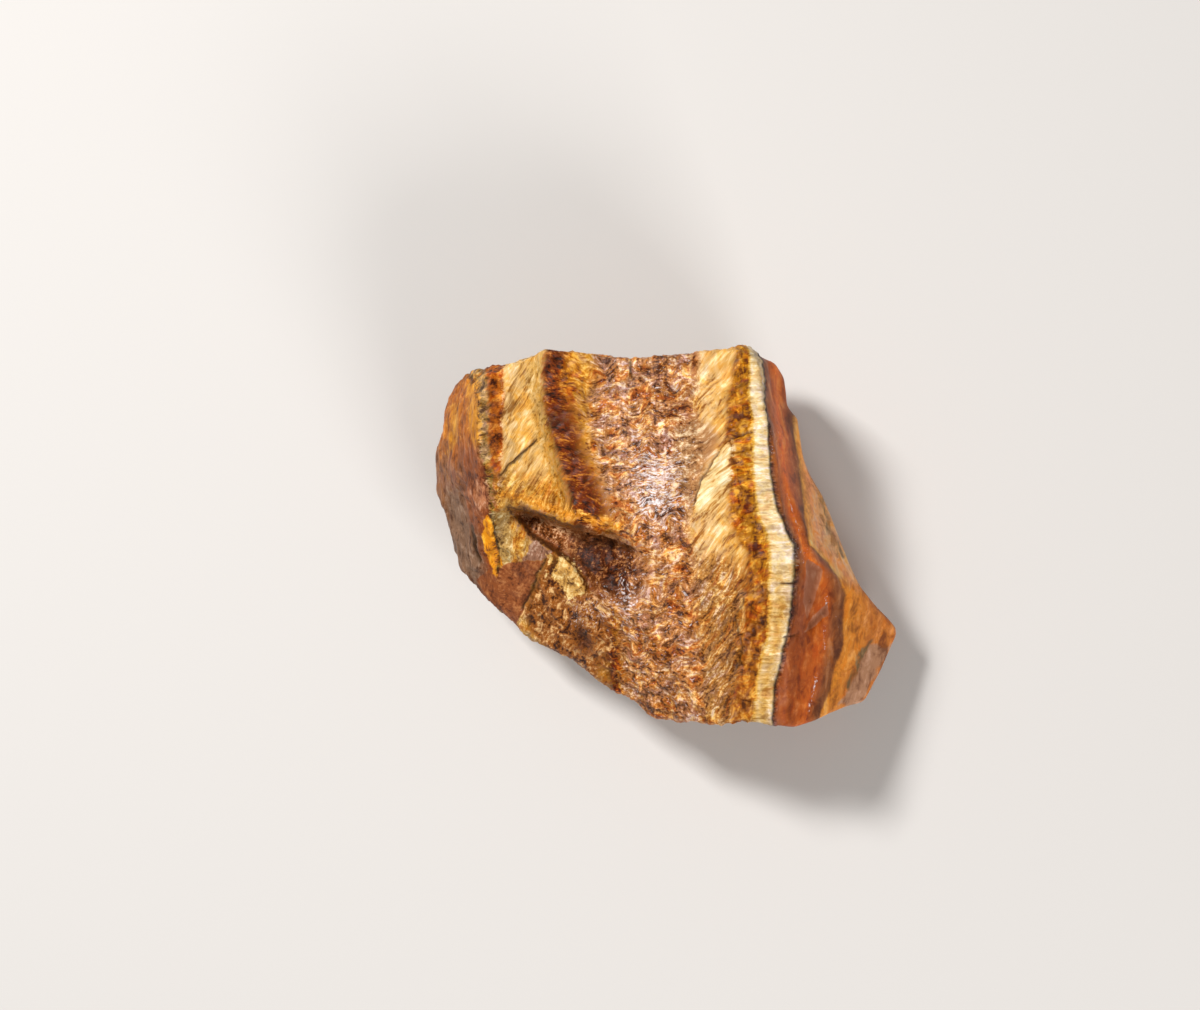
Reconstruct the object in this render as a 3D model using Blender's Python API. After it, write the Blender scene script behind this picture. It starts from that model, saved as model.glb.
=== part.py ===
"""Rough tiger's eye: one broken lump of fibrous golden quartz with jasper wall rock still on it.

The lump lies on its flat back, with its fibrous break upwards. X runs across the bands, from the
weathered wall on the left to the jasper wall on the right; Y runs along the bands; Z is up. The
origin is under the middle of the lump, on the surface that it rests on.

It is made as the real one was: a block loses a flake for every facet, rounder flakes leave hollow
scars, and the fibres part in ledges over the break.
"""

import math

import bmesh
import bpy
import numpy as np
from mathutils import Matrix, Vector, noise

MM = 0.001

# Driving dimensions, in millimetres
THICKNESS = 40.5
MIDDLE = Vector((0.0, 0.0, 20.0))

# The lump's outline in plan, its two broken ends and its two walls, in millimetres
TOP_END = [(-36.3, 30.9), (-29.9, 31.8), (-25.2, 33.2), (-22.3, 34.5), (-12.6, 33.6), (-4.7, 32.8),
           (4.6, 34.0), (11.1, 34.7), (16.1, 35.5), (17.7, 33.6)]
JASPER_WALL = [(20.7, 32.6), (22.6, 30.0), (23.2, 24.1), (25.1, 22.4), (26.0, 15.3), (27.0, 12.4),
               (29.9, 7.8), (33.6, -1.7), (36.8, -9.2), (39.6, -12.5), (44.3, -17.5), (44.4, -19.0),
               (41.2, -25.9), (38.0, -32.0)]
BOTTOM_END = [(34.2, -32.5), (30.9, -33.5), (28.4, -34.6), (23.9, -35.8), (17.8, -34.6), (6.6, -34.8),
              (-1.8, -33.9), (-5.2, -31.0)]
OUTER_WALL = [(-12.2, -27.4), (-17.5, -22.9), (-21.3, -20.8), (-25.1, -19.8), (-29.1, -16.0),
              (-35.9, -9.9), (-38.9, -6.5), (-39.9, -2.3), (-41.6, 4.9), (-43.1, 9.7),
              (-43.2, 15.4), (-41.4, 24.3), (-39.5, 28.7)]

# Every facet that a flake left on the upper half: the way that it faces in plan and how far it
# leans up, in degrees, then its distance from MIDDLE, in millimetres
FACETS = {
    "break_main": (250.0, 86.0, 18.6),
    "break_low": (262.0, 77.0, 20.0),
    "break_corner": (225.0, 62.0, 22.6),
    "wall_left": (184.0, 19.0, 37.9),
    "wall_upper_left": (160.0, 15.0, 44.8),
    "wall_lower_left": (193.0, 23.0, 35.0),
    "jasper_patch": (226.0, 40.0, 22.1),
    "left_toe": (232.0, 8.0, 31.0),
    "top_left_corner": (125.0, 10.0, 45.8),
    "strip_corner": (48.0, 12.0, 39.0),
    "jasper_face": (347.5, 39.0, 31.3),
    "tip_bevel": (335.0, 30.0, 38.3),
}

# The facets of the lower half: the way that each faces and how far it leans down, in degrees, and
# how high up the side it starts, in millimetres
UNDERCUTS = {
    "under_tip": (345.0, 43.0, 9.6),
    "under_right": (12.0, 40.0, 9.6),
    "under_right_corner": (42.0, 36.0, 15.0),
    "under_top": (92.0, 27.0, 17.0),
    "under_top_left": (134.0, 38.0, 12.0),
    "under_left": (186.0, 40.0, 12.5),
    "under_low_left": (226.0, 42.0, 15.0),
    "under_bottom": (268.0, 25.0, 16.0),
    "under_bottom_right": (302.0, 42.0, 11.0),
}

# Hollow scars of rounder flakes: the point of the surface under the middle of each, the way that it
# faces as above, how deep it is there, and its width along and its height up the side
SCARS = {
    "jasper_back": ((30.9, 2.2, 25.0), 22.0, 23.5, 1.5, 34.0, 30.0),
    "jasper_strip": ((21.5, 28.0, 31.0), 8.0, 18.0, 2.0, 21.0, 24.0),
    "jasper_scoop": ((25.2, 7.2, 35.9), 8.0, 39.0, 2.1, 24.0, 13.0),
    "jasper_chip": ((27.2, -16.4, 32.6), 350.0, 40.0, 0.8, 7.0, 6.0),
    "tip_chip": ((35.6, -33.2, 14.0), 300.0, 5.0, 1.0, 7.0, 12.0),
    "left_shell": ((-38.2, 0.0, 22.0), 188.0, 24.0, 1.2, 18.0, 20.0),
    "top_shell": ((10.0, 33.2, 10.0), 84.0, -22.0, 2.8, 26.0, 17.0),
    "top_shell_left": ((-22.0, 31.0, 9.0), 104.0, -26.0, 2.6, 22.0, 16.0),
    "bottom_shell": ((8.0, -33.0, 10.0), 268.0, -20.0, 3.0, 27.0, 18.0),
    "corner_shell": ((-21.0, -21.0, 8.0), 230.0, -38.0, 2.8, 24.0, 16.0),
    "right_shell": ((31.0, 3.0, 9.5), 23.0, -30.0, 4.4, 38.0, 23.0),
    "tip_shell": ((34.0, -19.0, 3.4), 348.0, -44.0, 1.2, 15.0, 8.0),
    "base_hollow": ((10.0, 14.0, 0.0), 120.0, -89.0, 1.3, 22.0, 13.0),
}

# Ledges of the break, each a line that the fibres parted along. Going along the line, the break
# falls away on the right by `drop`, within `wall`, and climbs back over `reach`; at its two ends
# the line fades out over `fade`.
LEDGES = [
    {  # the edge of the yellow slab
        "line": [(-22.4, 37.3), (-22.5, 31.5), (-22.7, 28.9), (-22.5, 26.7), (-22.2, 23.7),
                 (-21.6, 21.1), (-20.8, 18.7), (-20.3, 16.1), (-19.4, 13.5), (-18.6, 11.1),
                 (-17.6, 8.7), (-17.0, 5.9), (-16.4, 3.1)],
        "drop": 4.4, "wall": 3.0, "reach": 15.0, "fade": (0.5, 4.0),
    },
    {  # the upper lip of the cavity
        "line": [(-30.7, 5.9), (-29.2, 5.5), (-25.9, 5.3), (-22.9, 4.3), (-20.1, 2.9), (-16.2, 2.0),
                 (-12.3, 1.2), (-9.2, 0.5), (-6.0, -1.3), (-2.0, -3.0)],
        "drop": 1.6, "wall": 1.0, "reach": 9.0, "fade": (2.0, 11.0),
    },
    {  # the broad terrace under it
        "line": [(-31.8, 6.1), (-29.2, 5.5), (-22.9, 4.3), (-16.2, 2.0), (-9.2, 0.5), (-4.7, -2.5),
                 (-2.5, -7.7)],
        "drop": 2.8, "wall": 1.4, "reach": 25.0, "fade": (3.0, 12.0),
    },
    {  # the crease across the slab
        "line": [(-31.3, 11.3), (-29.1, 13.5), (-26.8, 15.5), (-24.4, 17.6), (-22.2, 19.8)],
        "drop": 0.7, "wall": 0.5, "reach": 6.0, "fade": (2.0, 4.0),
    },
    {  # the right splinter
        "line": [(17.0, 19.3), (14.8, 19.4), (12.0, 18.3), (10.5, 16.7), (8.6, 13.9), (6.4, 10.5),
                 (4.2, 3.5), (3.6, -0.6)],
        "drop": 1.6, "wall": 0.7, "reach": 8.0, "fade": (2.0, 4.0),
    },
    {  # a split along the bands
        "line": [(4.7, 36.9), (5.3, 34.3), (5.5, 30.0), (5.1, 25.8), (5.7, 20.7)],
        "drop": 0.9, "wall": 0.5, "reach": 6.0, "fade": (0.5, 4.0),
    },
    {  # a split near the lower end
        "line": [(17.9, -16.4), (14.2, -19.2), (13.8, -23.3), (12.5, -26.6)],
        "drop": 1.0, "wall": 0.5, "reach": 6.0, "fade": (2.5, 2.5),
    },
]
# The cavity that opens under the slab: its rim in plan, how deep it is, how thick its sides are, and
# between which two places along X its floor climbs out to the right
CAVITY = [(-29.6, 5.6), (-25.9, 5.3), (-22.9, 4.4), (-20.1, 3.0), (-16.2, 2.0), (-12.3, 1.2),
          (-9.2, 0.5), (-6.0, -1.3), (-1.8, -3.6), (0.5, -8.0), (-2.5, -12.9), (-7.3, -13.2),
          (-11.4, -11.9), (-14.6, -10.3), (-15.9, -7.5), (-18.8, -4.7), (-21.4, -2.8),
          (-24.6, -0.6), (-26.8, 1.6)]
CAVITY_DEPTH = 4.6
CAVITY_SIDE = 1.1
CAVITY_OPENS = (-16.0, -1.5)
LEDGES_END_BELOW = 12.0
LEDGES_WHOLE_ABOVE = 28.0

# The break and the broken sides are hackly; the jasper is smooth. Height and grain of the lumps.
HACKLE_HEIGHT = 0.55
HACKLE_GRAIN = 6.0
JASPER_HEIGHT = 0.18
JASPER_GRAIN = 9.0
RIM_X = 21.0
RIM_SOFTNESS = 1.5

REMESH_SIZE = 0.8
TRIANGLES = 9600
REST_SKIN = 0.35


def facing(azimuth, lean):
    """The unit vector that points to azimuth in plan and leans up from it."""
    around, up = math.radians(azimuth), math.radians(lean)
    return Vector((math.cos(up) * math.cos(around), math.cos(up) * math.sin(around), math.sin(up)))


def smooth_step(value, low, high):
    t = np.clip((value - low) / (high - low), 0.0, 1.0)
    return t * t * (3.0 - 2.0 * t)


def shave(lump, normal, distance):
    """Takes off everything beyond the plane that faces along normal, so far from MIDDLE."""
    cut = bmesh.ops.bisect_plane(
        lump,
        geom=lump.verts[:] + lump.edges[:] + lump.faces[:],
        plane_co=MIDDLE + normal * distance,
        plane_no=normal,
        clear_outer=True,
    )
    rim = [piece for piece in cut["geom_cut"] if isinstance(piece, bmesh.types.BMEdge)]
    bmesh.ops.holes_fill(lump, edges=rim, sides=0)


def make_block():
    """A block with the lump's outline, and a facet shaved for each flake that it lost."""
    outline = [Vector((x, y, 0.0)) for x, y in TOP_END + JASPER_WALL + BOTTOM_END + OUTER_WALL]
    lump = bmesh.new()
    foot = lump.faces.new([lump.verts.new(corner) for corner in outline])
    raised = bmesh.ops.extrude_face_region(lump, geom=[foot])
    top = [piece for piece in raised["geom"] if isinstance(piece, bmesh.types.BMVert)]
    bmesh.ops.translate(lump, verts=top, vec=(0.0, 0.0, THICKNESS))
    for azimuth, lean, distance in FACETS.values():
        shave(lump, facing(azimuth, lean), distance)
    for azimuth, lean, start in UNDERCUTS.values():
        normal = facing(azimuth, -lean)
        edge = max(normal.x * corner.x + normal.y * corner.y for corner in outline)
        shave(lump, normal, edge + normal.z * (start - MIDDLE.z))
    bmesh.ops.recalc_face_normals(lump, faces=lump.faces)
    mesh = bpy.data.meshes.new("rough_tigers_eye")
    lump.to_mesh(mesh)
    lump.free()
    block = bpy.data.objects.new("rough_tigers_eye", mesh)
    bpy.context.scene.collection.objects.link(block)
    return block


def make_flake(name, surface_point, azimuth, lean, deep, wide, high):
    """The egg that leaves a hollow so deep, so wide and so high at that point of the surface."""
    outward = facing(azimuth, lean)
    along = facing(azimuth + 90.0, 0.0)
    radius = (wide * high / 4 + deep * deep) / (2 * deep)
    stretch = radius / math.sqrt(wide * high)
    turn = Matrix((along, outward.cross(along), outward)).transposed().to_4x4()
    size = Matrix.Diagonal((wide * stretch, high * stretch, radius, 1.0))
    place = Matrix.Translation(Vector(surface_point) + outward * (radius - deep))
    egg = bmesh.new()
    bmesh.ops.create_icosphere(egg, subdivisions=5, radius=1.0)
    egg.transform(place @ turn @ size)
    mesh = bpy.data.meshes.new(name)
    egg.to_mesh(mesh)
    egg.free()
    flake = bpy.data.objects.new(name, mesh)
    flake.hide_render = True
    flake.display_type = "WIRE"
    bpy.context.scene.collection.objects.link(flake)
    return flake


def evaluated_mesh(obj):
    """The object's mesh with its modifiers applied."""
    bpy.context.view_layer.update()
    graph = bpy.context.evaluated_depsgraph_get()
    return bpy.data.meshes.new_from_object(obj.evaluated_get(graph))


def strike_scars(block):
    """Takes the round flakes off, and gives the lump an even mesh to cut its ledges in."""
    flakes = [make_flake(name, *scar) for name, scar in SCARS.items()]
    for flake in flakes:
        cut = block.modifiers.new(flake.name, "BOOLEAN")
        cut.operation = "DIFFERENCE"
        cut.object = flake
    even = block.modifiers.new("even", "REMESH")
    even.mode = "VOXEL"
    even.voxel_size = REMESH_SIZE
    struck = evaluated_mesh(block)
    block.modifiers.clear()
    block.data = struck
    for flake in flakes:
        bpy.data.objects.remove(flake)


def nearest_on_line(points, corners):
    """For each point of the plan: how far off the line it is, on which side, and how far along."""
    starts, runs = corners[:-1], np.diff(corners, axis=0)
    lengths = np.linalg.norm(runs, axis=1)
    before = np.concatenate([[0.0], np.cumsum(lengths)[:-1]])
    offsets = points[:, None, :] - starts[None]
    along = np.clip((offsets * runs).sum(2) / lengths**2, 0.0, 1.0)
    gaps = offsets - along[:, :, None] * runs
    distances = np.linalg.norm(gaps, axis=2)
    rows, nearest = np.arange(len(points)), distances.argmin(1)
    run, gap = runs[nearest], gaps[rows, nearest]
    on_right = run[:, 0] * gap[:, 1] - run[:, 1] * gap[:, 0] < 0
    return distances[rows, nearest], on_right, before[nearest] + along[rows, nearest] * lengths[nearest]


def ledge_fall(points, line, drop, wall, reach, fade):
    """How far the break falls at each point of the plan because of one ledge."""
    corners = np.array(line)
    distance, on_right, along = nearest_on_line(points, corners)
    whole = np.linalg.norm(np.diff(corners, axis=0), axis=1).sum()
    ends = smooth_step(along, 0.0, fade[0]) * smooth_step(whole - along, 0.0, fade[1])
    falls = smooth_step(distance, 0.0, wall) * (1.0 - smooth_step(distance, wall, wall + reach))
    return np.where(on_right, drop * falls * ends, 0.0)


def cavity_fall(points):
    """How far the break falls at each point of the plan because of the cavity."""
    corners = np.array(CAVITY + CAVITY[:1])
    distance = nearest_on_line(points, corners)[0]
    x, y = points[:, 0, None], points[:, 1, None]
    (x1, y1), (x2, y2) = corners[:-1].T, corners[1:].T
    crosses = (y1 > y) != (y2 > y)
    ahead = x < (x2 - x1) * (y - y1) / np.where(y2 == y1, 1e-9, y2 - y1) + x1
    inside = (crosses & ahead).sum(1) % 2 == 1
    depth = CAVITY_DEPTH * (1.0 - smooth_step(points[:, 0], *CAVITY_OPENS))
    return np.where(inside, depth * smooth_step(distance, 0.0, CAVITY_SIDE), 0.0)


def part_ledges(places):
    """Lowers the top of the lump along its ledges, all of it near the break and none at its foot."""
    fall = sum(ledge_fall(places[:, :2], **ledge) for ledge in LEDGES) + cavity_fall(places[:, :2])
    share = smooth_step(places[:, 2], LEDGES_END_BELOW, LEDGES_WHOLE_ABOVE)
    places[:, 2] -= fall * share


def roughen(places, normals):
    """Pushes the skin in and out in lumps, strongly on the broken fibres and faintly on the jasper."""
    jasper = smooth_step(places[:, 0], RIM_X - RIM_SOFTNESS, RIM_X + RIM_SOFTNESS)
    for place, normal, share in zip(places, normals, jasper):
        hackle = noise.fractal(Vector(place) / HACKLE_GRAIN, 0.7, 2.2, 4)
        ripple = noise.noise(Vector(place) / JASPER_GRAIN)
        place += normal * (HACKLE_HEIGHT * hackle * (1 - share) + JASPER_HEIGHT * ripple * share)


def finish_skin(lump):
    """Cuts the ledges, roughens the skin, and keeps the face that the lump rests on flat."""
    mesh = lump.data
    places = np.empty(len(mesh.vertices) * 3, np.float32)
    mesh.vertices.foreach_get("co", places)
    places = places.reshape(-1, 3).astype(float)
    normals = np.array([vertex.normal for vertex in mesh.vertices])
    resting = places[:, 2] < REST_SKIN
    part_ledges(places)
    roughen(places, normals)
    places[:, 2] = np.where(resting, 0.0, np.maximum(places[:, 2], 0.0))
    mesh.vertices.foreach_set("co", (places * MM).astype(np.float32).ravel())
    mesh.update()


def thin_out(lump):
    """Keeps the triangles that carry the shape."""
    faces = sum(len(face.vertices) - 2 for face in lump.data.polygons)
    fewer = lump.modifiers.new("fewer", "DECIMATE")
    fewer.ratio = TRIANGLES / faces
    fewer.use_collapse_triangulate = True
    lump.data = evaluated_mesh(lump)
    lump.modifiers.clear()


def stand_over_origin(lump):
    """Moves the lump's mesh so that the origin is under its middle, on the face that it rests on."""
    low, high = Vector(lump.bound_box[0]), Vector(lump.bound_box[6])
    middle = (low + high) / 2
    lump.data.transform(Matrix.Translation((-middle.x, -middle.y, -low.z)))


def stone_material():
    """Golden brown quartz, silky on the break."""
    material = bpy.data.materials.new("tigers_eye")
    material.use_nodes = True
    shader = material.node_tree.nodes["Principled BSDF"]
    shader.inputs["Base Color"].default_value = (0.36, 0.16, 0.045, 1.0)
    shader.inputs["Roughness"].default_value = 0.45
    shader.inputs["Metallic"].default_value = 0.0
    return material


def main():
    for obj in list(bpy.data.objects):
        bpy.data.objects.remove(obj)
    lump = make_block()
    strike_scars(lump)
    finish_skin(lump)
    thin_out(lump)
    stand_over_origin(lump)
    lump.data.name = lump.name
    lump.data.materials.append(stone_material())


main()
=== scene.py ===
import bpy
import numpy as np
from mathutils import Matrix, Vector, noise


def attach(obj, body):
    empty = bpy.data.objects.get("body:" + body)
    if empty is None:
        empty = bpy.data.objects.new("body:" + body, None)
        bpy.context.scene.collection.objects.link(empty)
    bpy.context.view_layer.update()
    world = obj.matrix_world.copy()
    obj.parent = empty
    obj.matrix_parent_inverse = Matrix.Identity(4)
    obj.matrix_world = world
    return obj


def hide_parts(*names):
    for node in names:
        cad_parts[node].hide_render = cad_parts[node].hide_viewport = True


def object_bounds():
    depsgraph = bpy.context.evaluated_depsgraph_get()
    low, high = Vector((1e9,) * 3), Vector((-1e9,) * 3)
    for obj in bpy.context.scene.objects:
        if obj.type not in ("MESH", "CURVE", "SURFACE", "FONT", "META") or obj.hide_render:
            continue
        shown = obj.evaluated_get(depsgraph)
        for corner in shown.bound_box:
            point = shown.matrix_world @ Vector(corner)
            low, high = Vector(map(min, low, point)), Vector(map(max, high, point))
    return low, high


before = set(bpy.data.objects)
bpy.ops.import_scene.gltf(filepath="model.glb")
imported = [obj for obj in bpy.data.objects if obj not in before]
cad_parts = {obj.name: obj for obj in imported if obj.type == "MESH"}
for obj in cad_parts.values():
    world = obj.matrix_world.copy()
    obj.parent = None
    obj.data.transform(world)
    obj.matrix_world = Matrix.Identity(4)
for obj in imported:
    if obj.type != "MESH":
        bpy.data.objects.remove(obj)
solid_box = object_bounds()


# ---------------------------------------------------------------------------------------------
# The lump's body: one piece of quartz and jasper, as it broke out of the rock. The CAD solid has
# its facets, scars and ledges; its skin is laid over them here, fine enough to carve the fibres in.
# ---------------------------------------------------------------------------------------------
MM = 0.001
SKIN_MESH = 0.475 * MM
WELD = 0.001 * MM
SOFTENING_SHARE = 0.5
SOFTENING_STEPS = 5

bpy.ops.object.select_all(action="DESELECT")
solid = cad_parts["rough_tigers_eye"]
solid.select_set(True)
bpy.context.view_layer.objects.active = solid
bpy.ops.object.duplicate()
stone = bpy.context.active_object
stone.name = "rough_stone"
stone.data.materials.clear()
bpy.ops.object.mode_set(mode="EDIT")
bpy.ops.mesh.select_all(action="SELECT")
bpy.ops.mesh.remove_doubles(threshold=WELD)
bpy.ops.object.mode_set(mode="OBJECT")
skin = stone.modifiers.new("skin", "REMESH")
skin.mode = "VOXEL"
skin.voxel_size = SKIN_MESH
bpy.ops.object.modifier_apply(modifier=skin.name)
soften = stone.modifiers.new("soften", "SMOOTH")
soften.factor = SOFTENING_SHARE
soften.iterations = SOFTENING_STEPS
bpy.ops.object.modifier_apply(modifier=soften.name)


# ---------------------------------------------------------------------------------------------
# The layers of the seam: fibres grew from wall to wall, and iron stained them in bands along the
# walls. Each line below is where one layer meets the next in plan, as (along, across) in mm.
# ---------------------------------------------------------------------------------------------
LAYER_LINES = {
    "outer_wall": [(-21, -30.1), (-12, -30.6), (-3, -31.7), (7, -32.9), (16, -34.9), (25, -35.3),
                   (35, -36.6)],
    "slab_left": [(-21, -26.5), (-12, -27.5), (-3, -29.0), (7, -31.4), (18, -30.6), (35, -30.3)],
    "slab_crest": [(-30, -8.9), (-21, -10.8), (-12, -12.6), (-4, -14.5), (3, -16.9), (9, -18.1),
                   (13.4, -19.9), (18.6, -21.3), (23.6, -22.6), (29, -23.2), (35, -22.8)],
    "valley": [(-30, -6.7), (-21, -7.6), (-12, -8.5), (-3, -9.8), (7, -12.2), (16, -14.1),
               (25, -14.5), (35, -12.6)],
    "core_right": [(-30, 7.1), (-21, 6.3), (-12, 5.0), (-4, 4.1), (3, 3.7), (7, 5.0),
                   (16, 6.3), (25, 5.0), (35, 5.4)],
    "honey_band": [(-30, 12.3), (-27, 13.4), (-23, 14.1), (-12, 14.5), (-3, 14.9), (-1, 13.0),
                   (5, 11.3), (16, 11.5), (20, 10.8), (25, 11.0), (35, 12.8)],
    "cream_band": [(-31, 16.3), (-27, 16.7), (-23, 17.6), (-19, 18.4), (-3, 18.8), (0, 18.2),
                   (5, 16.5), (12, 15.6), (20, 15.6), (25, 14.9), (35, 14.9)],
    "jasper_wall": [(-31, 20.4), (-25, 21.4), (-19, 22.5), (-14, 23.6), (-8, 24.1), (-5, 24.5),
                    (-1.6, 24.1), (0.2, 23.0), (3, 21.7), (6, 20.6), (12, 19.5), (20, 18.8),
                    (31, 18.6), (35, 17.8)],
    "tan_jasper": [(-33, 30.1), (-29, 32.0), (-24, 32.9), (-19.5, 34.1), (-11, 34.3), (-8, 32.6),
                   (-5, 30.5), (-1.7, 26.6), (10, 25.6), (22, 24.6)],
}
# Below the break the layers move this far across for each mm down
LAYERS_LEAN = 0.06
BREAK_HEIGHT = 38.0
# Past the outermost lines, in the wall rock, one more layer is counted for each of these, in mm
WALL_UNIT = 10.0

# How steeply the fibres climb from left to right in each layer, in degrees
FIBRE_CLIMBS = [10.0, 56.0, -18.0, 8.0, 52.0, 12.0, 0.0, 0.0]

# In the core the fibres stand in columns of arches, which waver and in places fade out
ARCH_WIDTH = 5.2
ARCH_RISE = 0.7
ARCH_MIDDLE = 1.7
ARCH_WAVER = 2.4

# How far the layers' edges and the fibres stray from their plain course, in mm
EDGE_SWAY = 0.35
ROCK_SWAY = 2.2
LOWER_EDGE_SWAY = 3.0
FIBRE_SWIRL = 0.4
LOOSE_SWIRL = 1.6

# The stain changes along the seam: each row is a layer and the place along it, in mm, below
# which it is muddier
LOWER_PART = [(-1.0, 17.0), (-0.1, 16.0), (0.9, 12.0), (1.9, 11.0), (2.1, 2.0), (3.0, -3.0),
              (4.0, -3.0), (4.2, -4.0), (5.0, -6.0), (7.0, -8.0)]

# How much weaker each finer step of a grain is, as a power, and how many times finer it is
FINER_IS_WEAKER = 0.8
FINER_BY = 2.1


def places_of(piece):
    """The piece's points as rows of x, y and z, in mm."""
    places = np.empty(len(piece.data.vertices) * 3, np.float32)
    piece.data.vertices.foreach_get("co", places)
    return places.reshape(-1, 3).astype(float) / MM


def directions_of(piece):
    """The way that the skin faces at each point."""
    directions = np.empty(len(piece.data.vertices) * 3, np.float32)
    piece.data.vertices.foreach_get("normal", directions)
    return directions.reshape(-1, 3).astype(float)


def ease(value, low, high):
    """0 below low, 1 above high, and a smooth rise between them."""
    t = np.clip((value - low) / (high - low), 0.0, 1.0)
    return t * t * (3.0 - 2.0 * t)


def grain(places, size, start, octaves=2):
    """Noise at every point, about -1 to 1; size is its grain in mm, alike or as (x, y, z), and a
    start of its own keeps each pattern from lining up with the others."""
    spots = [Vector(spot) for spot in places / np.array(size) + start]
    return np.array([noise.fractal(spot, FINER_IS_WEAKER, FINER_BY, octaves) for spot in spots])


def layers_of(places):
    """Each point's layer (0 at the outer wall, 1 at the next line, and so on), how wide it is
    there, and how far the fibres have climbed since the outer wall."""
    across = places[:, 0] - LAYERS_LEAN * (places[:, 2] - BREAK_HEIGHT)
    lines = [np.interp(places[:, 1], *zip(*line)) for line in LAYER_LINES.values()]
    layer = (np.minimum(across - lines[0], 0.0) + np.maximum(across - lines[-1], 0.0)) / WALL_UNIT
    width = np.full(len(places), WALL_UNIT)
    climb = np.zeros(len(places))
    for left, right, angle in zip(lines, lines[1:], FIBRE_CLIMBS):
        gone = np.clip(across - left, 0.0, right - left)
        layer += gone / (right - left)
        climb += gone * np.tan(np.radians(angle))
        within = (across > left) & (across <= right)
        width[within] = (right - left)[within]
    return layer, width, climb


smooth_places = places_of(stone)
smooth_directions = directions_of(stone)
x, y, z = smooth_places.T
on_the_jasper_side = ease(x, 22.0, 30.0) * ease(-z, -30.0, -18.0)
sway = grain(smooth_places, 5.0, 3.0) * EDGE_SWAY
sway += ROCK_SWAY * grain(smooth_places, (9.0, 14.0, 7.0), 4.0) * on_the_jasper_side
layer, width, climb = layers_of(np.stack([x + sway, y, z], axis=1))
change = grain(smooth_places, 4.0, 5.0, 3) * LOWER_EDGE_SWAY

# A layer's number is that of its line above: the slab is from 1 to 2, the core up to 4, the honey
# band from 5, the cream band from 6, the jasper from 7 and the tan rock from 8
lower = 1.0 - ease(y + change - np.interp(layer, *zip(*LOWER_PART)), -3.0, 3.0)
jasper = ease(layer, 6.97, 7.03)
rind = 1.0 - ease(layer, -0.06, 0.02)
cream = ease(layer, 5.95, 6.05) * (1.0 - jasper)
core = ease(layer, 2.2, 3.0) * (1.0 - ease(layer, 3.9, 4.1))
silky = ease(layer, 0.9, 1.1) - ease(layer, 1.95, 2.05)
silky += ease(layer, 3.95, 4.1) - ease(layer, 4.95, 5.2)
loose = np.maximum(core, lower * ease(layer, 1.9, 2.1) * (1.0 - ease(layer, 5.0, 5.6)))

# The fibres climb across the layers, stand in arches in the core and swirl where they are loose
from_the_arch = x + ARCH_WAVER * grain(smooth_places, 6.0, 13.0) - ARCH_MIDDLE
arches = np.cos(2 * np.pi * from_the_arch / ARCH_WIDTH)
arches *= ARCH_RISE * core * ease(grain(smooth_places, 8.0, 15.0), -0.4, 0.5)
swirl = FIBRE_SWIRL * grain(smooth_places, 9.0, 7.0)
swirl += LOOSE_SWIRL * loose * grain(smooth_places, 4.5, 9.0) - arches
fibre_places = np.stack([x, y - climb + swirl, z], axis=1)


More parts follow.
